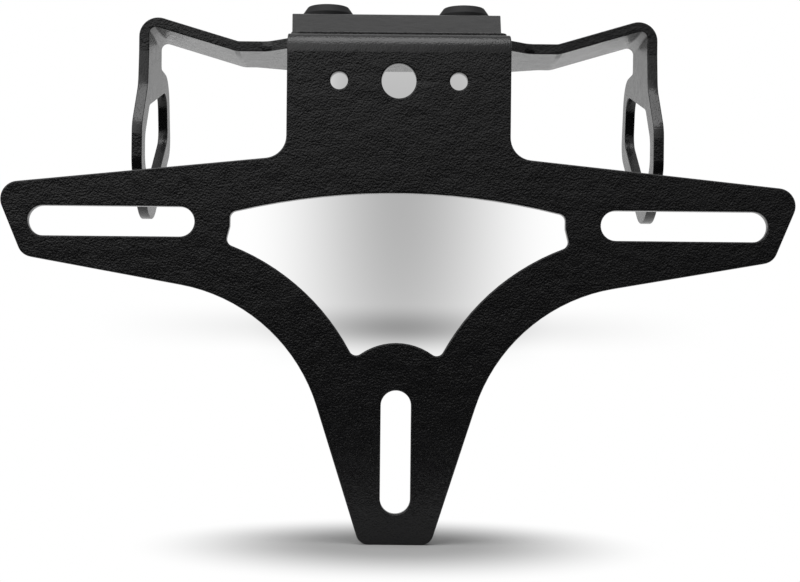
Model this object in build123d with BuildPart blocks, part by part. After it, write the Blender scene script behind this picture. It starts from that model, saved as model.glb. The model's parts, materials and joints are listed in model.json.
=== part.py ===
from build123d import *
import os
from math import atan2, radians, sin, tan

# Motorbike licence plate holder, in millimetres.
# X runs to the right of someone who faces the plate, Y runs forward to the bike and Z is up.
# The origin lies between the two tail bolts, on top of their spacers, where the holder meets the bike.

# Sheet
sheet = 2.75
bend_inside = 2.5
corner_inside = 1.8
corner_outside = 5.1

# Slots and holes of the plate carrier, heights from its bottom edge and widths from its middle
slot_width = 7.55
wing_slot_pitch = 143.5
wing_slot_height = 80.4
wing_slot_length = 41.8
foot_slot_length = 30.95
foot_slot_wall = 7.7
light_pitch = 30.0
light_hole_d = 4.4
light_drop = 12.5
cable_hole_d = 8.7

# Outline of the plate carrier
foot_width = 17.8
foot_corner_r = 3.2
elbow_web = 22.85
elbow_drop = 20.45
elbow_r = 44.1
wing_low_wall = 5.0
wing_low_overhang = 1.4
wing_low_r = 4.0
wing_top_wall = 5.4
wing_tip_wall = 8.85
wing_tip_r = 4.5
neck_rise = 16.7
neck_r = 5.6
tongue_length = 31.5
tongue_width = 56.2
tongue_corner_r = 4.0
flange_length = 42.0

# Central opening of the plate carrier
band_width = 13.0
saddle_wall = 11.9
opening_top_wall = 9.1
opening_top_rise = 5.15
opening_web = 8.85
opening_lean = 1.25
opening_knee_drop = 1.0
opening_low_drop = 5.9
opening_corner_r = 1.8

# Main bracket: strap, ramp and tail flange
strap_nose = 8.5
strap_corner_r = 2.0
waist_width = 60.4
gusset_front_run = 7.0
gusset_front_reach = 6.0
gusset_back_run = 9.6
gusset_back_reach = 4.4
gusset_r = 4.0
ramp_run = 39.8
ramp_rise = 22.25
tail_setback = 14.0
tail_wall = 2.55
tail_margin = 15.0
tail_corner_r = 8.0

# Main bracket: arms that carry the indicator plates
arm_front = 29.6
arm_width = 24.8
arm_flat = 3.6
arm_slope = 16.5
cheek_spread = 133.75

# Indicator plates, from the brow under the arm by way of the chin to the shoulder behind the arm
brow_drop = 9.1
brow_lean = 1.1
brow_r = 8.0
flare_drop = 12.2
flare_reach = 10.4
front_edge = 11.6
cheek_corner_r = 7.0
chin_depth = 15.8
chin_setback = 17.7
chin_r = 15.0
hip_drop = 21.6
hip_setback = 20.8
shoulder_drop = 0.7
shoulder_setback = 16.0
shoulder_r = 9.0
shoulder_neck_r = 1.0
rim = 6.0
window_top_slope = 15.1
window_corner_r = 5.0

# Tail bolts and spacers
tail_bolt_pitch = 43.5
tail_bolt_clear_d = 6.5
spacer_height = 4.8
spacer_top_d = 13.0
spacer_top_r = 0.6
spacer_foot_d = 16.4
spacer_foot_thick = 2.4
spigot_d = 9.6
spigot_fit = 0.15

# Joint screws
joint_side_wall = 5.35
joint_edge = 6.5
screw_d = 5.0
screw_length = 10.0
screw_hole_play = 0.5
head_d = 9.5
head_height = 2.75
head_flat_d = 5.0
head_rim = 0.7
key_width = 3.0
key_depth = 1.6
washer_d = 10.0
washer_thick = 1.0
washer_play = 0.3
nut_width = 8.0
nut_height = 2.7
thread_play = 0.1
tip_chamfer = 0.4

# Where the main bracket lies, from the bike towards the plate
bend_outside = bend_inside + sheet
ramp_slope = atan2(ramp_rise, ramp_run)
tail_flange_z = -(spacer_height + sheet)
strap_z = tail_flange_z - ramp_rise
strap_top_z = strap_z + sheet
ramp_top_y = -tail_setback
ramp_foot_y = ramp_top_y - ramp_run
ramp_bend_y = ramp_foot_y - bend_outside * tan(ramp_slope / 2)
arm_back_y = ramp_bend_y - gusset_back_reach
arm_front_y = arm_back_y - arm_width
face_y = arm_front_y - arm_front
joint_y = face_y + flange_length - joint_edge
joint_pitch = tongue_width - 2 * joint_side_wall

# Heights on the plate carrier, from its bottom edge
slot_r = slot_width / 2
neck_height = wing_slot_height + neck_rise
carrier_height = neck_height + tongue_length
bottom_z = strap_z - carrier_height
light_height = carrier_height - light_drop
wing_slot_end = (wing_slot_pitch + wing_slot_length) / 2
wing_slot_start = (wing_slot_pitch - wing_slot_length) / 2

os.makedirs("parts", exist_ok=True)


def along(start, end, length):
    """The point that lies the given length from start on the way to end."""
    return start + (end - start).normalized() * length


def bend_centre(before, corner, after, radius):
    """Centre of the round that fits into the corner between two straight edges."""
    half_angle = (before - corner).get_angle(after - corner) / 2
    middle = (before - corner).normalized() + (after - corner).normalized()
    return along(corner, corner + middle, radius / sin(radians(half_angle)))


# Plate carrier: one sheet, cut to shape and bent back at the top
foot_corner = Vector(foot_width / 2, 0)
elbow = Vector(wing_slot_start - elbow_web, wing_slot_height - elbow_drop)
wing_low = Vector(wing_slot_end + wing_low_overhang, wing_slot_height - slot_r - wing_low_wall)
wing_tip = Vector(wing_slot_end + wing_tip_wall, wing_slot_height + slot_r + wing_top_wall)
sweep_centre = bend_centre(foot_corner, elbow, wing_low, elbow_r)
face_plane = Plane(origin=(0, face_y, bottom_z), x_dir=(1, 0, 0), z_dir=(0, -1, 0))
tongue_side = tongue_width / 2
bend_start = carrier_height - bend_outside

with BuildPart() as plate_carrier:
    with BuildSketch(face_plane):
        with BuildLine():
            outline = FilletPolyline(
                (0, 0),
                foot_corner,
                elbow,
                wing_low,
                wing_tip,
                (tongue_side, neck_height),
                (tongue_side, bend_start),
                (0, bend_start),
                radius=[foot_corner_r, elbow_r, wing_low_r, wing_tip_r, neck_r, 0],
            )
            mirror(outline, about=Plane.YZ)
        make_face()
    extrude(amount=-sheet)

    # The bend and the flange that lies under the strap
    with BuildSketch(Plane.YZ):
        with BuildLine():
            FilletPolyline(
                (face_y, bottom_z + light_height),
                (face_y, strap_z),
                (face_y + flange_length, strap_z),
                radius=bend_outside,
            )
            offset(amount=sheet, side=Side.RIGHT)
        make_face()
    extrude(amount=tongue_side, both=True)
    flange_ends = plate_carrier.edges().filter_by(Axis.Z).group_by(Axis.Y)[-1]
    fillet(flange_ends, tongue_corner_r)

    # The opening between the wings and the foot: its lower sides keep one width of band
    opening_side = wing_slot_start - opening_web
    opening_low_side = opening_side + opening_lean
    opening_low = wing_slot_height - opening_low_drop
    opening_top = neck_height - opening_top_wall
    opening_corner_height = opening_top - opening_top_rise
    saddle_height = foot_slot_wall + foot_slot_length - slot_r
    with BuildSketch(face_plane) as opening:
        with BuildLine():
            half_opening = Polyline(
                (0, saddle_height),
                (opening_low_side, saddle_height),
                (opening_low_side, opening_low),
                (opening_side, wing_slot_height - opening_knee_drop),
                (opening_side, opening_corner_height),
            )
            mirror(half_opening, about=Plane.YZ)
            ThreePointArc(
                (-opening_side, opening_corner_height),
                (0, opening_top),
                (opening_side, opening_corner_height),
            )
        make_face()
        with Locations((sweep_centre.X, sweep_centre.Y), (-sweep_centre.X, sweep_centre.Y)):
            Circle(elbow_r + band_width, mode=Mode.SUBTRACT)
        with Locations((0, saddle_height)):
            Circle(slot_r + saddle_wall, mode=Mode.SUBTRACT)
        fillet(opening.vertices(), opening_corner_r)
    extrude(amount=-sheet, mode=Mode.SUBTRACT)

    # Slots for the plate's bolts, and the holes for the plate light and its cable
    with BuildSketch(face_plane):
        with Locations((0, wing_slot_height)):
            with GridLocations(wing_slot_pitch, 0, 2, 1):
                SlotOverall(wing_slot_length, slot_width)
        with Locations((0, foot_slot_wall + foot_slot_length / 2)):
            SlotOverall(foot_slot_length, slot_width, rotation=90)
        with Locations((0, light_height)):
            Circle(cable_hole_d / 2)
            with GridLocations(light_pitch, 0, 2, 1):
                Circle(light_hole_d / 2)
    extrude(amount=-sheet, mode=Mode.SUBTRACT)

    with BuildSketch(Plane.XY.offset(strap_z)):
        with Locations((0, joint_y)):
            with GridLocations(joint_pitch, 0, 2, 1):
                Circle((screw_d + screw_hole_play) / 2)
    extrude(amount=-sheet, mode=Mode.SUBTRACT)

plate_carrier.part.label = "plate_carrier"
export_step(plate_carrier.part, "parts/plate_carrier.step")

# The back of the main bracket: a ramp that widens as it climbs, and the tail flange, bent in side view
waist_side = waist_width / 2
tail_side = (tail_bolt_pitch + spacer_foot_d) / 2 + tail_wall
with BuildPart() as ramp_and_tail:
    with BuildSketch(Plane.YZ):
        with BuildLine():
            FilletPolyline(
                (arm_front_y, strap_z),
                (ramp_foot_y, strap_z),
                (ramp_top_y, tail_flange_z),
                (tail_margin, tail_flange_z),
                radius=[bend_outside, bend_inside],
            )
            offset(amount=sheet, side=Side.LEFT)
        make_face()
    extrude(amount=tail_side, both=True)
    with BuildSketch(Plane.XY.offset(strap_z)):
        with BuildLine():
            tail_edge = FilletPolyline(
                (0, arm_front_y),
                (waist_side, arm_front_y),
                (waist_side, ramp_bend_y),
                (tail_side, ramp_top_y),
                (tail_side, tail_margin),
                (0, tail_margin),
                radius=[0, bend_outside, bend_outside, tail_corner_r],
            )
            mirror(tail_edge, about=Plane.YZ)
        make_face()
    extrude(amount=ramp_rise + sheet, mode=Mode.INTERSECT)

# Main bracket: one sheet, with the arms branching off a strap that climbs to the tail flange
strap_front_side = tongue_side
strap_front_y = arm_front_y - gusset_front_reach - strap_nose
cheek_x = cheek_spread / 2
arm_bend_x = waist_side + gusset_back_run + arm_flat
arm_end_z = strap_z + (cheek_x - arm_bend_x) * tan(radians(arm_slope))
arm_start_x = arm_bend_x - bend_outside * tan(radians(arm_slope / 2))
above_arms_z = arm_end_z + bend_outside
brow_y = arm_front_y - brow_lean
brow_z = strap_z - brow_drop
cheek_front_y = brow_y - flare_reach
flare_z = brow_z - flare_drop
jaw_z = flare_z - front_edge
chin_z = jaw_z - chin_depth
hip_y = arm_back_y + hip_setback
shoulder_y = arm_back_y + shoulder_setback
shoulder_z = strap_z - shoulder_drop
cheek_low_points = [
    (cheek_front_y, flare_z),
    (cheek_front_y, jaw_z),
    (cheek_front_y + chin_setback, chin_z),
    (hip_y, strap_z - hip_drop),
]

with BuildPart() as main_bracket:
    # The band that runs up one cheek, along the arms and down the other, bent in front view
    with BuildSketch(Plane.XZ.offset(-hip_y)) as band:
        with BuildLine():
            FilletPolyline(
                (-cheek_x, chin_z),
                (-cheek_x, arm_end_z),
                (-arm_bend_x, strap_z),
                (arm_bend_x, strap_z),
                (cheek_x, arm_end_z),
                (cheek_x, chin_z),
                radius=[0, bend_outside, bend_outside, 0],
            )
            offset(amount=sheet, side=Side.LEFT, kind=Kind.INTERSECTION)
        make_face()
        fillet(band.vertices().group_by(Axis.Y)[-2], corner_inside)
        fillet(band.vertices().group_by(Axis.Y)[-1], corner_outside)
    extrude(amount=hip_y - cheek_front_y)

    # Its blank in side view: the arm above, the cheek with its chin below
    with BuildSketch(Plane.YZ):
        with BuildLine():
            FilletPolyline(
                (arm_front_y, above_arms_z),
                (arm_front_y, strap_z),
                (brow_y, brow_z),
                *cheek_low_points,
                (shoulder_y, shoulder_z),
                (arm_back_y, shoulder_z),
                (arm_back_y, above_arms_z),
                radius=[0, brow_r, cheek_corner_r, cheek_corner_r, chin_r, cheek_corner_r, shoulder_r, shoulder_neck_r],
            )
            Line((arm_back_y, above_arms_z), (arm_front_y, above_arms_z))
        make_face()
    extrude(amount=cheek_spread, both=True, mode=Mode.INTERSECT)

    # The window for the indicator's foot: it follows the blank's edge, one rim inside it
    window_back_z = brow_z + (shoulder_y - brow_y) * tan(radians(window_top_slope))
    window_r = window_corner_r + rim
    with BuildSketch(Plane.YZ):
        with BuildLine():
            FilletPolyline(
                (brow_y, brow_z),
                *cheek_low_points,
                (shoulder_y, window_back_z),
                radius=[window_r, window_r, window_r, chin_r, window_r, window_r],
                close=True,
            )
        make_face()
        offset(amount=-rim)
    extrude(amount=cheek_spread, both=True, mode=Mode.SUBTRACT)

    # The strap between the arms, with gussets where they branch off
    with BuildSketch(Plane.XY.offset(strap_z)):
        with BuildLine():
            strap_edge = FilletPolyline(
                (0, strap_front_y),
                (strap_front_side, strap_front_y),
                (strap_front_side, arm_front_y - gusset_front_reach),
                (strap_front_side + gusset_front_run, arm_front_y),
                (arm_start_x, arm_front_y),
                (arm_start_x, arm_back_y),
                (waist_side + gusset_back_run, arm_back_y),
                (waist_side, ramp_bend_y),
                (0, ramp_bend_y),
                radius=[strap_corner_r, gusset_r, gusset_r, 0, 0, gusset_r, 0],
            )
            mirror(strap_edge, about=Plane.YZ)
        make_face()
    extrude(amount=sheet)
    add(ramp_and_tail.part)

    # Holes for the spacers' spigots in the tail flange, and for the joint screws in the strap
    with BuildSketch(Plane.XY.offset(tail_flange_z)):
        with GridLocations(tail_bolt_pitch, 0, 2, 1):
            Circle(spigot_d / 2 + spigot_fit)
    extrude(amount=sheet, mode=Mode.SUBTRACT)
    with BuildSketch(Plane.XY.offset(strap_z)):
        with Locations((0, joint_y)):
            with GridLocations(joint_pitch, 0, 2, 1):
                Circle((screw_d + screw_hole_play) / 2)
    extrude(amount=sheet, mode=Mode.SUBTRACT)

main_bracket.part.label = "main_bracket"
export_step(main_bracket.part, "parts/main_bracket.step")

# Spacers on the tail flange: a tapered collar each, with a spigot down into its hole
spacer_foot_top_z = spacer_foot_thick - spacer_height
for side, x in (("left", -tail_bolt_pitch / 2), ("right", tail_bolt_pitch / 2)):
    with BuildPart() as spacer:
        with BuildSketch(Plane(origin=(x, 0, 0), x_dir=(1, 0, 0), z_dir=(0, -1, 0))):
            with BuildLine():
                spacer_side = FilletPolyline(
                    (tail_bolt_clear_d / 2, tail_flange_z),
                    (spigot_d / 2, tail_flange_z),
                    (spigot_d / 2, -spacer_height),
                    (spacer_foot_d / 2, -spacer_height),
                    (spacer_foot_d / 2, spacer_foot_top_z),
                    (spacer_top_d / 2, 0),
                    (tail_bolt_clear_d / 2, 0),
                    radius=[0, 0, 0, spacer_top_r, spacer_top_r],
                )
                Line(spacer_side @ 1, spacer_side @ 0)
            make_face()
        revolve(axis=Axis((x, 0, 0), (0, 0, 1)))
    spacer.part.label = "tail_spacer_" + side
    export_step(spacer.part, "parts/tail_spacer_" + side + ".step")

# Joint screws: up from below the flange, each with a washer under its head and a thin nut on the strap
washer_z = strap_z - sheet - washer_thick
head_low_z = washer_z - head_height
screw_tip_z = washer_z + screw_length
screw_r = screw_d / 2
for side, x in (("left", -joint_pitch / 2), ("right", joint_pitch / 2)):
    with BuildPart() as joint_screw:
        with BuildSketch(Plane(origin=(x, joint_y, 0), x_dir=(1, 0, 0), z_dir=(0, -1, 0))):
            with BuildLine():
                Polyline(
                    (head_flat_d / 2, head_low_z),
                    (0, head_low_z),
                    (0, screw_tip_z),
                    (screw_r - tip_chamfer, screw_tip_z),
                    (screw_r, screw_tip_z - tip_chamfer),
                    (screw_r, washer_z),
                    (head_d / 2, washer_z),
                    (head_d / 2, washer_z - head_rim),
                )
                RadiusArc((head_d / 2, washer_z - head_rim), (head_flat_d / 2, head_low_z), head_d / 2)
            make_face()
        revolve(axis=Axis((x, joint_y, 0), (0, 0, 1)))
        with BuildSketch(Plane.XY.offset(head_low_z)):
            with Locations((x, joint_y)):
                RegularPolygon(key_width / 2, 6, major_radius=False)
        extrude(amount=key_depth, mode=Mode.SUBTRACT)
    joint_screw.part.label = "joint_screw_" + side
    export_step(joint_screw.part, "parts/joint_screw_" + side + ".step")

    with BuildPart() as washer:
        with BuildSketch(Plane.XY.offset(washer_z)):
            with Locations((x, joint_y)):
                Circle(washer_d / 2)
                Circle((screw_d + washer_play) / 2, mode=Mode.SUBTRACT)
        extrude(amount=washer_thick)
    washer.part.label = "joint_washer_" + side
    export_step(washer.part, "parts/joint_washer_" + side + ".step")

    with BuildPart() as lock_nut:
        with BuildSketch(Plane.XY.offset(strap_top_z)):
            with Locations((x, joint_y)):
                RegularPolygon(nut_width / 2, 6, major_radius=False)
                Circle(screw_r + thread_play, mode=Mode.SUBTRACT)
        extrude(amount=nut_height)
    lock_nut.part.label = "lock_nut_" + side
    export_step(lock_nut.part, "parts/lock_nut_" + side + ".step")
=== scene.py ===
# %% [markdown]
# A motorbike licence plate holder, dressed for a studio picture
#
# The holder is two cut and bent steel sheets, a few fasteners and two collars. Its solids come from
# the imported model. This script gives them their finish, rounds the edges of the sheets, and adds a
# floor, soft light and a camera. Lengths are in metres, and MM turns millimetres into metres.

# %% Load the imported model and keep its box
import json
import math

import bmesh
import bpy
from mathutils import Matrix, Vector


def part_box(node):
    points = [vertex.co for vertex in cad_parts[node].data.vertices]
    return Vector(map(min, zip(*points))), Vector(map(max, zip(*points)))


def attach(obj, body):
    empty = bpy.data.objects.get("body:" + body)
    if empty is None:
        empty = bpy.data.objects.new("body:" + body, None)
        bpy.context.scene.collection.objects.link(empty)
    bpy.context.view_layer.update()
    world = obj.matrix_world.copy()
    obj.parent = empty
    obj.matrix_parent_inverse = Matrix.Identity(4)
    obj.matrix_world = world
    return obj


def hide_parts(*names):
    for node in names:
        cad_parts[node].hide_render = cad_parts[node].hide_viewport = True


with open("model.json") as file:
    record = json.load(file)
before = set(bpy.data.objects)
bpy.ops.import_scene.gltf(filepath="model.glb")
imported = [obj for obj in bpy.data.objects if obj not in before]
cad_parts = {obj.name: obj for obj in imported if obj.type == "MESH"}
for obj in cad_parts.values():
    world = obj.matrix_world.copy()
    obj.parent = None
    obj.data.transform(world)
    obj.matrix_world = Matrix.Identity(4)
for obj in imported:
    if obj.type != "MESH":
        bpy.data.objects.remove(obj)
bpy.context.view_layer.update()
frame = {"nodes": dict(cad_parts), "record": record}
MM = 0.001


def in_mm(point):
    """A point in metres as rounded millimetres, for printing."""
    return [round(c / MM, 1) for c in point]


carrier_low, carrier_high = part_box("plate_carrier")
print("carrier from", in_mm(carrier_low), "to", in_mm(carrier_high))

# %% [markdown]
# The camera
#
# The photograph looks straight at the plate from about 400 mm away, a little left of the middle and
# well below the flange, so the undersides of the arms show. The camera stays level and its lens is
# shifted, as a product photographer shifts one, which keeps the upright edges of the plate parallel.
# The picture is turned by about half a degree, so the camera is rolled by as much.

# %% Camera
PICTURE_WIDTH_PX = 800
PICTURE_HEIGHT_PX = 582
PIXELS_PER_MM = 4.0
VIEW_DISTANCE = 400 * MM
EYE_LEFT = 4.1 * MM
EYE_HEIGHT = 48.75 * MM
AXIS_PX = (380.0, 350.0)
ROLL_DEG = 0.57
SENSOR_MM = 36.0
NEAREST_SEEN = 10 * MM

focal_px = PIXELS_PER_MM * VIEW_DISTANCE / MM
camera_data = bpy.data.cameras.new("studio_camera")
camera_data.sensor_fit = "HORIZONTAL"
camera_data.sensor_width = SENSOR_MM
camera_data.lens = focal_px / PICTURE_WIDTH_PX * SENSOR_MM
camera_data.shift_x = (PICTURE_WIDTH_PX / 2 - AXIS_PX[0]) / PICTURE_WIDTH_PX
camera_data.shift_y = (AXIS_PX[1] - PICTURE_HEIGHT_PX / 2) / PICTURE_WIDTH_PX
camera_data.clip_start = NEAREST_SEEN
camera = bpy.data.objects.new("studio_camera", camera_data)
bpy.context.scene.collection.objects.link(camera)
eye = Vector((-EYE_LEFT, carrier_low.y - VIEW_DISTANCE, carrier_low.z + EYE_HEIGHT))
upright = Matrix.Rotation(math.radians(90), 4, "X")
roll = Matrix.Rotation(math.radians(ROLL_DEG), 4, "Z")
camera.matrix_world = Matrix.Translation(eye) @ upright @ roll
bpy.context.scene.camera = camera
print("lens", round(camera_data.lens, 1), "mm, eye at", in_mm(eye))

# %% [markdown]
# Helpers for materials
#
# A colour is easiest to read as a hex value, as a paint chart gives it, but Blender mixes light in
# linear numbers. One function does the change. Another adds a node, with its settings and its links
# in one call, so that each material below reads from top to bottom. Of a Mix node for colours, inputs
# 6 and 7 are the two colours and output 2 is the mixed one.

# %% Helpers for colours and nodes
def linear(hex_colour):
    """An sRGB hex colour as the linear RGBA that Blender works in."""
    parts = [int(hex_colour[i:i + 2], 16) / 255 for i in (1, 3, 5)]
    return [c / 12.92 if c <= 0.04045 else ((c + 0.055) / 1.055) ** 2.4 for c in parts] + [1.0]


def add(tree, kind, settings=None, **inputs):
    """Adds a node. Its settings are attributes, and each input is a value or another node's output.

    An input goes by its name, with _ for a space, or where several share a name by its number, as i0.
    """
    node = tree.nodes.new(kind)
    for name, value in (settings or {}).items():
        setattr(node, name, value)
    for name, value in inputs.items():
        is_number = name[0] == "i" and name[1:].isdigit()
        socket = node.inputs[int(name[1:]) if is_number else name.replace("_", " ")]
        if isinstance(value, bpy.types.NodeSocket):
            tree.links.new(value, socket)
        else:
            socket.default_value = value
    return node


def new_material(name):
    """An empty material with its node tree."""
    material = bpy.data.materials.new(name)
    material.use_nodes = True
    material.node_tree.nodes.clear()
    return material, material.node_tree


def report(material):
    """Prints how many nodes a material has."""
    print(material.name, "has", len(material.node_tree.nodes), "nodes")


print("a middle grey, #808080, is", round(linear("#808080")[0], 3), "in linear numbers")

# %% [markdown]
# Leathery black powder coat
#
# Both sheets are steel with a jet black polyester powder coat. The powder is sprayed on dry and melts
# in an oven into a tough skin that stays finely pebbled, like leather. To the eye that is a deep black
# whose sheen breaks up into small sparkles, where the side of a pebble happens to mirror something
# bright. A picture would give such a skin at one size only. Here a noise on Object coordinates gives
# the pebbles a real size in millimetres on every side of the sheet, and it moves the shading normal,
# which is enough for a relief of a few hundredths of a millimetre. A second, slower noise is the
# melt's flow. Nine tenths of such a noise lie within about a quarter of its range, so the bump is
# given four times the height that the pebbles are to have.

# %% Powder coat
PEBBLE_MM = 0.46
PEBBLE_HEIGHT_MM = 0.022
HEIGHTS_IN_FULL_RANGE = 4
FLOW_MM = 4.0
FLOW_HEIGHT_SHARE = 1.5
# Painted shade: the colour in the hollows between pebbles, darker than the colour of their tops.
HOLLOW_SHADE_BLACK = "#070708"
PEBBLE_BLACK = "#0f0f10"
COAT_ROUGHNESS = (0.19, 0.28)
COAT_IOR = 1.42


def powder_coat():
    material, tree = new_material("black_powder_coat_fine_texture")
    place = add(tree, "ShaderNodeTexCoord").outputs["Object"]
    pebbles = add(tree, "ShaderNodeTexNoise", Vector=place, Scale=1 / (PEBBLE_MM * MM), Detail=1.5,
                  Roughness=0.5)
    flow = add(tree, "ShaderNodeTexNoise", Vector=place, Scale=1 / (FLOW_MM * MM), Detail=2.0,
               Roughness=0.5)
    relief = add(tree, "ShaderNodeMath", {"operation": "MULTIPLY_ADD"}, i0=flow.outputs["Fac"],
                 i1=FLOW_HEIGHT_SHARE, i2=pebbles.outputs["Fac"])
    bump = add(tree, "ShaderNodeBump", Strength=1.0, Height=relief.outputs["Value"],
               Distance=PEBBLE_HEIGHT_MM * HEIGHTS_IN_FULL_RANGE * MM)
    # Painted shade: the hollows between the pebbles are coloured darker than their tops.
    tint = add(tree, "ShaderNodeMix", {"data_type": "RGBA"}, Factor=pebbles.outputs["Fac"],
               i6=linear(HOLLOW_SHADE_BLACK), i7=linear(PEBBLE_BLACK))
    sheen = add(tree, "ShaderNodeMapRange", Value=flow.outputs["Fac"], To_Min=COAT_ROUGHNESS[0],
                To_Max=COAT_ROUGHNESS[1])
    skin = add(tree, "ShaderNodeBsdfPrincipled", Base_Color=tint.outputs[2], IOR=COAT_IOR,
               Roughness=sheen.outputs["Result"], Normal=bump.outputs["Normal"])
    add(tree, "ShaderNodeOutputMaterial", Surface=skin.outputs["BSDF"])
    return material


coat = powder_coat()
report(coat)

# %% [markdown]
# Black anodised aluminium
#
# The two collars on the tail flange are turned from aluminium and anodised black, which leaves a dull,
# dense skin of oxide and dye. To the eye that is a soft black without a mirror in it, so it is made as
# a rough surface that isn't metallic. Turning leaves fine rings that follow the axis of a collar.
# Rings could be cut into the mesh, but a wave on the height does it with no extra faces. Real ones
# are too fine to show in a picture of this size, so they are drawn 1.57 mm apart. At a scale of 1
# Blender's wave turns through 20 radians in each unit, so its scale follows from that and the pitch.

# %% Black anodised aluminium
RING_PITCH_MM = 1.57
RING_DEPTH_MM = 0.02
WAVE_RADIANS = 20
DYE_CLOUD_MM = 1.2
DYE_DARK = "#08080a"
DYE_LIGHT = "#101012"


def black_anodised():
    material, tree = new_material("black_anodised_turned_aluminium")
    place = add(tree, "ShaderNodeTexCoord").outputs["Object"]
    rings = add(tree, "ShaderNodeTexWave", {"wave_type": "BANDS", "bands_direction": "Z"}, Vector=place,
                Scale=2 * math.pi / WAVE_RADIANS / (RING_PITCH_MM * MM), Distortion=0.4, Detail=1.0)
    cloud = add(tree, "ShaderNodeTexNoise", Vector=place, Scale=1 / (DYE_CLOUD_MM * MM), Detail=3.0)
    bump = add(tree, "ShaderNodeBump", Strength=0.2, Distance=RING_DEPTH_MM * MM,
               Height=rings.outputs["Fac"])
    tint = add(tree, "ShaderNodeMix", {"data_type": "RGBA"}, Factor=cloud.outputs["Fac"],
               i6=linear(DYE_DARK), i7=linear(DYE_LIGHT))
    skin = add(tree, "ShaderNodeBsdfPrincipled", Base_Color=tint.outputs[2], Roughness=0.65, Metallic=0.0,
               IOR=1.38, Normal=bump.outputs["Normal"])
    add(tree, "ShaderNodeOutputMaterial", Surface=skin.outputs["BSDF"])
    return material


anodised = black_anodised()
report(anodised)

# %% [markdown]
# Black oxide on steel
#
# The joint screws are steel with a black oxide, a thin skin grown in a hot salt bath. It is thin
# enough for the metal to gleam through, so the finish is mostly metallic, dark and a little cloudy.

# %% Black oxide on steel
OXIDE_CLOUD_MM = 0.8
OXIDE_DARK = "#1c1c1f"
OXIDE_LIGHT = "#35353a"


def black_oxide():
    material, tree = new_material("black_oxide_steel")
    place = add(tree, "ShaderNodeTexCoord").outputs["Object"]
    cloud = add(tree, "ShaderNodeTexNoise", Vector=place, Scale=1 / (OXIDE_CLOUD_MM * MM), Detail=4.0)
    tint = add(tree, "ShaderNodeMix", {"data_type": "RGBA"}, Factor=cloud.outputs["Fac"],
               i6=linear(OXIDE_DARK), i7=linear(OXIDE_LIGHT))
    skin = add(tree, "ShaderNodeBsdfPrincipled", Base_Color=tint.outputs[2], Roughness=0.34, Metallic=0.8)
    add(tree, "ShaderNodeOutputMaterial", Surface=skin.outputs["BSDF"])
    return material


oxide = black_oxide()
report(oxide)

# %% [markdown]
# Zinc plate
#
# The washers and lock nuts are zinc plated in a bath, which gives a cool light grey with faint cloudy
# crystals. The crystals show as patches that are duller or brighter, so one noise moves both the
# colour and the roughness of a plain metal.

# %% Zinc plate
CRYSTAL_MM = 0.6
ZINC_DARK = "#a9adb2"
ZINC_LIGHT = "#c9ccd0"
ZINC_ROUGHNESS = (0.22, 0.4)


def zinc_plate():
    material, tree = new_material("bright_zinc_plate")
    place = add(tree, "ShaderNodeTexCoord").outputs["Object"]
    cloud = add(tree, "ShaderNodeTexNoise", Vector=place, Scale=1 / (CRYSTAL_MM * MM), Detail=4.0)
    tint = add(tree, "ShaderNodeMix", {"data_type": "RGBA"}, Factor=cloud.outputs["Fac"],
               i6=linear(ZINC_DARK), i7=linear(ZINC_LIGHT))
    sheen = add(tree, "ShaderNodeMapRange", Value=cloud.outputs["Fac"], To_Min=ZINC_ROUGHNESS[0],
                To_Max=ZINC_ROUGHNESS[1])
    skin = add(tree, "ShaderNodeBsdfPrincipled", Base_Color=tint.outputs[2], Metallic=1.0,
               Roughness=sheen.outputs["Result"])
    add(tree, "ShaderNodeOutputMaterial", Surface=skin.outputs["BSDF"])
    return material


zinc = zinc_plate()
report(zinc)

# %% [markdown]
# A finish for each node
#
# A workshop drawing names a finish beside each piece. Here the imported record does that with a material
# slot, so one table from slot to material is enough, and no piece has to be named by hand.

# %% Give each node its finish
finishes = {
    "black_powder_coat": coat,
    "black_anodised": anodised,
    "black_screw": oxide,
    "zinc_steel": zinc,
}
slot_of = {row["node"]: row["material_slot"] for row in frame["record"]["subparts"]}
for name, node in frame["nodes"].items():
    node.data.materials.clear()
    node.data.materials.append(finishes[slot_of[name]])
    print(name, "gets", slot_of[name])

# %% [markdown]
# Rounded edges on the sheets
#
# A laser leaves a sharp edge on a sheet, and powder doesn't hold on a sharp edge, so edges are tumbled
# before coating and the coat rounds them further. A round can catch a thin line of light, which a
# sharp edge never does. The solids keep their edges sharp, so each sheet gets a copy: its loose
# triangles are merged, flat areas are dissolved into single faces, and a Bevel modifier rounds only
# the edges that turn sharply, so that the strips of each bend stay as they are.
# Those narrow strips are shaded smooth and the large faces flat, as a rolled bend and a sheet are.
# The bevel may not slide along the edges beside it, because the creases of a bend meet the outline
# at a shallow angle there, and a slide would pull the bevel out into a long spike. The bracket has
# tighter corners than the carrier, so its round is the smaller one.

# %% Sheets with rounded edges
CARRIER_ROUND_MM = 0.35
BRACKET_ROUND_MM = 0.25
ROUND_SEGMENTS = 3
WELD_MM = 0.01
FLAT_DEG = 0.3
SHARP_DEG = 38.0
NARROW_MM = 0.6


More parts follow.
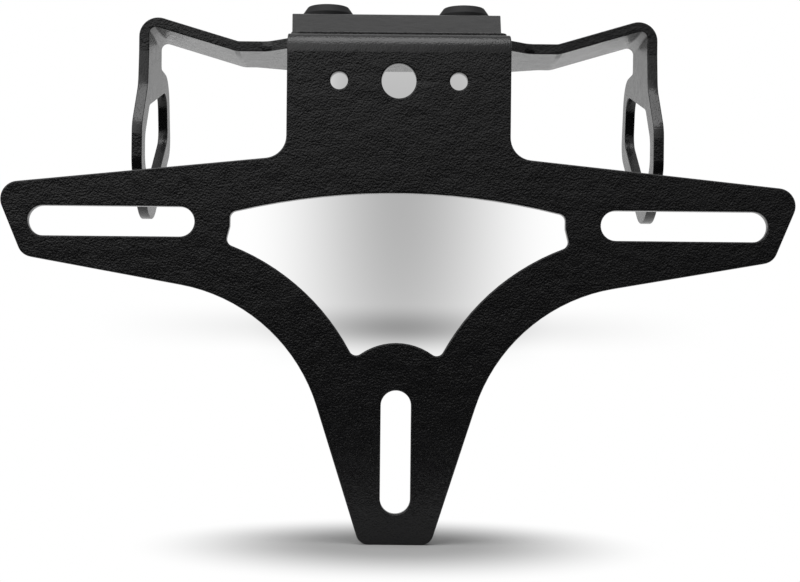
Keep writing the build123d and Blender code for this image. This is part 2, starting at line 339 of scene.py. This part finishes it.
def edge_rounded(name, round_mm):
    mesh = frame["nodes"][name].data.copy()
    shape = bmesh.new()
    shape.from_mesh(mesh)
    bmesh.ops.remove_doubles(shape, verts=shape.verts, dist=WELD_MM * MM)
    bmesh.ops.dissolve_limit(shape, angle_limit=math.radians(FLAT_DEG), verts=shape.verts, edges=shape.edges)
    for face in shape.faces:
        face.smooth = face.calc_area() / face.calc_perimeter() < NARROW_MM * MM
    shape.to_mesh(mesh)
    shape.free()
    piece = bpy.data.objects.new(name + "_edge_rounded", mesh)
    bpy.context.scene.collection.objects.link(piece)
    rounding = piece.modifiers.new("edge_round", "BEVEL")
    rounding.width = round_mm * MM
    rounding.segments = ROUND_SEGMENTS
    rounding.limit_method = "ANGLE"
    rounding.angle_limit = math.radians(SHARP_DEG)
    rounding.use_clamp_overlap = False
    rounding.loop_slide = False
    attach(piece, "root")
    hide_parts(name)
    print(piece.name, "has", len(mesh.polygons), "faces before the bevel")


edge_rounded("plate_carrier", CARRIER_ROUND_MM)
edge_rounded("main_bracket", BRACKET_ROUND_MM)

# %% [markdown]
# Table
#
# The holder stands on a white table. It is one face at the height of the foot, because nothing of a
# table but its top can show here. It reaches about as far to the front as the picture does, because
# the black face would mirror a longer one.

# %% Table
TABLE_FRONT = 68 * MM
TABLE_BACK = 3000 * MM
TABLE_SIDE = 2500 * MM

floor_mesh = bpy.data.meshes.new("floor")
table = bmesh.new()
bmesh.ops.create_grid(table, x_segments=1, y_segments=1, size=0.5)
bmesh.ops.scale(table, vec=(2 * TABLE_SIDE, TABLE_FRONT + TABLE_BACK, 1), verts=table.verts)
table_middle = (0, carrier_low.y + (TABLE_BACK - TABLE_FRONT) / 2, carrier_low.z)
bmesh.ops.translate(table, vec=table_middle, verts=table.verts)
table.to_mesh(floor_mesh)
table.free()
floor = bpy.data.objects.new("floor", floor_mesh)
bpy.context.scene.collection.objects.link(floor)
print("table of", 2 * TABLE_SIDE, "by", TABLE_FRONT + TABLE_BACK, "m around", in_mm(table_middle))

# %% [markdown]
# Paint of the table
#
# Little but a soft grey pool of shadow round the foot shows that the table is there. The holder is thin and
# its light comes from all round, so it throws hardly any shadow of its own, and nearly all of that pool is
# painted shadow: the camera sees the table a light grey near the foot, which turns to plain white a few
# centimetres away.
# For the light that it throws back at the holder the table is an ordinary matt white. Further away
# the camera and the gloss see it as plain white, and that white throws no light on the holder.
# From below it lets the view through, so that the underside of the holder can be looked at.

# %% Paint of the table
TABLE_WHITE = "#e7e7e7"
# Painted shadow: the grey that the camera and the gloss see on the table near the foot, and where it fades
# out.
PAINTED_SHADOW_GREY = "#a6a6a6"
PAINTED_SHADOW_FADE = (15 * MM, 67 * MM)
SMOOTH = {"interpolation_type": "SMOOTHSTEP"}


def seen_directly_or_mirrored(tree):
    """One for rays from the camera, from gloss and from glass, and none for the rest."""
    path = add(tree, "ShaderNodeLightPath")
    mirrored = add(tree, "ShaderNodeMath", {"operation": "ADD"}, i0=path.outputs["Is Glossy Ray"],
                   i1=path.outputs["Is Transmission Ray"])
    seen = add(tree, "ShaderNodeMath", {"operation": "ADD", "use_clamp": True},
               i0=path.outputs["Is Camera Ray"], i1=mirrored.outputs["Value"])
    return seen.outputs["Value"]


def table_paint():
    material, tree = new_material("white_table_with_painted_shadow")
    place = add(tree, "ShaderNodeTexCoord").outputs["Object"]
    from_foot = add(tree, "ShaderNodeVectorMath", {"operation": "DISTANCE"}, i0=place,
                    i1=(0, carrier_low.y, carrier_low.z))
    far = add(tree, "ShaderNodeMapRange", SMOOTH, Value=from_foot.outputs["Value"],
              From_Min=PAINTED_SHADOW_FADE[0], From_Max=PAINTED_SHADOW_FADE[1])
    white = add(tree, "ShaderNodeBsdfDiffuse", Color=linear(TABLE_WHITE))
    # The pool is painted shadow near the foot; further out the table is plain white.
    pool = add(tree, "ShaderNodeBsdfDiffuse", Color=linear(PAINTED_SHADOW_GREY))
    plain = add(tree, "ShaderNodeEmission", Strength=1.0)
    seen = add(tree, "ShaderNodeMixShader", i0=far.outputs["Result"], i1=pool.outputs["BSDF"],
               i2=plain.outputs["Emission"])
    look = add(tree, "ShaderNodeMixShader", i0=seen_directly_or_mirrored(tree), i1=white.outputs["BSDF"],
               i2=seen.outputs["Shader"])
    from_below = add(tree, "ShaderNodeNewGeometry").outputs["Backfacing"]
    open_below = add(tree, "ShaderNodeMixShader", i0=from_below, i1=look.outputs["Shader"],
                     i2=add(tree, "ShaderNodeBsdfTransparent").outputs["BSDF"])
    add(tree, "ShaderNodeOutputMaterial", Surface=open_below.outputs["Shader"])
    return material


paint = table_paint()
report(paint)
floor_mesh.materials.append(paint)

# %% [markdown]
# The room in front
#
# Black gloss shows its surroundings more than its own colour, so the room matters more than the lamp.
# In front the room is dark at table height and grows lighter above, more so on the left, which lets
# the face fade from charcoal at the top to black at the foot. Cards round the holder could do that,
# but the world does it by direction alone, with nothing in the way of the camera. A direction is a
# point on a ball of radius 1, so a height of 0.1 is about 6 degrees above the horizon.

# %% The room in front
FRONT_FADE = (0.105, 0.255)
FRONT_LEVELS = (0.01, 1.25)
SIDE_FADE = (-0.5, 0.5)
LEFT_GAIN = 1.1


def front_room(tree, right, up):
    """The level of the room in front, by direction."""
    by_height = add(tree, "ShaderNodeMapRange", SMOOTH, Value=up, From_Min=FRONT_FADE[0],
                    From_Max=FRONT_FADE[1], To_Min=FRONT_LEVELS[0], To_Max=FRONT_LEVELS[1])
    by_side = add(tree, "ShaderNodeMapRange", SMOOTH, Value=right, From_Min=SIDE_FADE[0],
                  From_Max=SIDE_FADE[1], To_Min=1 + LEFT_GAIN / 2, To_Max=1 - LEFT_GAIN / 2)
    level = add(tree, "ShaderNodeMath", {"operation": "MULTIPLY"}, i0=by_height.outputs["Result"],
                i1=by_side.outputs["Result"])
    return level.outputs["Value"]


fade_deg = [round(math.degrees(math.asin(height)), 1) for height in FRONT_FADE]
print("the front grows light between", fade_deg[0], "and", fade_deg[1], "degrees up")

# %% [markdown]
# The painted shadow behind the holder
#
# The backdrop is white with a wide soft grey on it, strongest at the top of the carrier's opening. That
# grey is painted shadow: the holder's own soft shadow on the backdrop. A wall with a lamp of its own could
# cast it, but their light would change the holder, so the shadow is painted by direction and is not cast.
# It narrows higher up, so that it doesn't show beside the tongue, and ends before it would show above the
# tail flange.

# %% The painted shadow behind the holder
HALO_SHADOW_DEPTH = 0.55
HALO_MIDDLE = (0.0125, 0.10)
HALO_NARROWS = (0.09, 0.13)
HALO_REACH = (0.10, 0.066)
HALO_FLAT = (0.0, 0.035)
HALO_REACH_UP = 0.30
HALO_END_LOW = (-0.014, 0.012)
HALO_END_HIGH = (0.178, 0.196)


def distance_from(tree, direction, middle):
    """How far a direction lies from a middle, on either side of it."""
    beside = add(tree, "ShaderNodeMath", {"operation": "SUBTRACT"}, i0=direction, i1=middle)
    return add(tree, "ShaderNodeMath", {"operation": "ABSOLUTE"}, i0=beside.outputs["Value"]).outputs["Value"]


def halo(tree, across, up):
    """How dark the painted shadow of the halo is, from none to its depth."""
    reach = add(tree, "ShaderNodeMapRange", SMOOTH, Value=up, From_Min=HALO_NARROWS[0],
                From_Max=HALO_NARROWS[1], To_Min=HALO_REACH[0], To_Max=HALO_REACH[1])
    flat = add(tree, "ShaderNodeMapRange", SMOOTH, Value=up, From_Min=HALO_NARROWS[0],
               From_Max=HALO_NARROWS[1], To_Min=HALO_FLAT[0], To_Max=HALO_FLAT[1])
    sideways = add(tree, "ShaderNodeMapRange", SMOOTH, Value=across, From_Min=flat.outputs["Result"],
                   From_Max=reach.outputs["Result"], To_Min=1.0, To_Max=0.0)
    upward = add(tree, "ShaderNodeMapRange", SMOOTH, Value=distance_from(tree, up, HALO_MIDDLE[1]),
                 From_Max=HALO_REACH_UP, To_Min=HALO_SHADOW_DEPTH, To_Max=0.0)
    low_end = add(tree, "ShaderNodeMapRange", SMOOTH, Value=up, From_Min=HALO_END_LOW[0],
                  From_Max=HALO_END_LOW[1])
    high_end = add(tree, "ShaderNodeMapRange", SMOOTH, Value=up, From_Min=HALO_END_HIGH[0],
                   From_Max=HALO_END_HIGH[1], To_Min=1.0, To_Max=0.0)
    # What this returns is painted shadow: the holder's shadow on the backdrop.
    grey = sideways.outputs["Result"]
    for part in (upward, low_end, high_end):
        product = add(tree, "ShaderNodeMath", {"operation": "MULTIPLY"}, i0=grey, i1=part.outputs["Result"])
        grey = product.outputs["Value"]
    return grey


print("the halo reaches", round(math.degrees(math.asin(HALO_REACH[0]))), "degrees to either side low down")

# %% [markdown]
# The backdrop
#
# Where the table meets the backdrop a wide and faint band of painted shadow stays, laid on by direction as
# the halo is.
# The backdrop is white less these two painted shadows, and only in the half of the room behind the holder.

# %% The backdrop
BAND_SHADOW_DEPTH = 0.24
BAND_MIDDLE = 0.014
BAND_REACH = (0.20, 0.016)


def backdrop(tree, right, up, behind):
    """The level of the backdrop, by direction."""
    across = distance_from(tree, right, HALO_MIDDLE[0])
    band_sideways = add(tree, "ShaderNodeMapRange", SMOOTH, Value=across, From_Max=BAND_REACH[0],
                        To_Min=BAND_SHADOW_DEPTH, To_Max=0.0)
    band_upward = add(tree, "ShaderNodeMapRange", SMOOTH, Value=distance_from(tree, up, BAND_MIDDLE),
                      From_Max=BAND_REACH[1], To_Min=1.0, To_Max=0.0)
    # Both greys are painted shadow on the white backdrop.
    greys = add(tree, "ShaderNodeMath", {"operation": "MULTIPLY_ADD"}, i0=band_sideways.outputs["Result"],
                i1=band_upward.outputs["Result"], i2=halo(tree, across, up))
    grey = add(tree, "ShaderNodeMath", {"operation": "MULTIPLY"}, i0=greys.outputs["Value"], i1=behind)
    level = add(tree, "ShaderNodeMath", {"operation": "SUBTRACT"}, i0=1.0, i1=grey.outputs["Value"])
    return level.outputs["Value"]


print("the band lies", round(math.degrees(math.asin(BAND_MIDDLE)), 1), "degrees up")

# %% [markdown]
# The whole room
#
# The room turns from its front part into its back part at the sides. Higher up the backdrop ends, so
# there light and gloss meet a grey room, while the camera sees the backdrop go on in white.

# %% World
TURN_TO_BACK = (-0.25, 0.35)
BACK_FADE = (0.0, 0.4)
BACK_HIGH_LEVEL = 0.4


def studio_world():
    world = bpy.data.worlds.new("white_studio")
    world.use_nodes = True
    tree = world.node_tree
    tree.nodes.clear()
    axes = add(tree, "ShaderNodeSeparateXYZ", Vector=add(tree, "ShaderNodeTexCoord").outputs["Generated"])
    right = axes.outputs["X"]
    up = axes.outputs["Z"]
    turn = add(tree, "ShaderNodeMapRange", SMOOTH, Value=axes.outputs["Y"], From_Min=TURN_TO_BACK[0],
               From_Max=TURN_TO_BACK[1])
    behind = turn.outputs["Result"]
    white = backdrop(tree, right, up, behind)
    fade = add(tree, "ShaderNodeMapRange", SMOOTH, Value=up, From_Min=BACK_FADE[0],
               From_Max=BACK_FADE[1], To_Min=1.0, To_Max=BACK_HIGH_LEVEL)
    back = add(tree, "ShaderNodeMath", {"operation": "MULTIPLY"}, i0=fade.outputs["Result"], i1=white)
    room = add(tree, "ShaderNodeMix", {"data_type": "FLOAT"}, Factor=behind, A=front_room(tree, right, up),
               B=back.outputs["Value"])
    path = add(tree, "ShaderNodeLightPath")
    level = add(tree, "ShaderNodeMix", {"data_type": "FLOAT"}, Factor=path.outputs["Is Camera Ray"],
                A=room.outputs["Result"], B=white)
    sky = add(tree, "ShaderNodeBackground", Color=linear("#ffffff"), Strength=level.outputs["Result"])
    add(tree, "ShaderNodeOutputWorld", Surface=sky.outputs["Background"])
    return world


bpy.context.scene.world = studio_world()
print("the world has", len(bpy.context.scene.world.node_tree.nodes), "nodes")

# %% [markdown]
# Soft box
#
# A soft box is a lamp behind a wide white cloth. This one hangs flat overhead and draws the bright
# line along the bend between the face and the flange. It could be a bright patch of the world, but as
# an area lamp it has a real size and place, and its shadow is true. Its power grows with its area, so
# that it looks equally bright when its size is changed.

# %% Soft box overhead
BOX_HEIGHT = 800 * MM
BOX_WIDTH = 600 * MM
BOX_FRONT = 370 * MM
BOX_BACK = 200 * MM
BOX_BRIGHTNESS = 2.8

lamp = bpy.data.lights.new("overhead_box", "AREA")
lamp.shape = "RECTANGLE"
lamp.size = BOX_WIDTH
lamp.size_y = BOX_FRONT + BOX_BACK
lamp.energy = BOX_BRIGHTNESS * math.pi * lamp.size * lamp.size_y
box = bpy.data.objects.new("overhead_box", lamp)
bpy.context.scene.collection.objects.link(box)
box.location = (0, carrier_low.y + (BOX_BACK - BOX_FRONT) / 2, carrier_high.z + BOX_HEIGHT)
print("soft box of", round(lamp.energy, 1), "W around", in_mm(box.location))

# %% [markdown]
# Last settings
#
# The Standard view shows a colour as it is written, where Blender's usual one would turn white grey.

# %% Plain view of colours
bpy.context.scene.view_settings.view_transform = "Standard"
print("colours are shown by the view", bpy.context.scene.view_settings.view_transform)
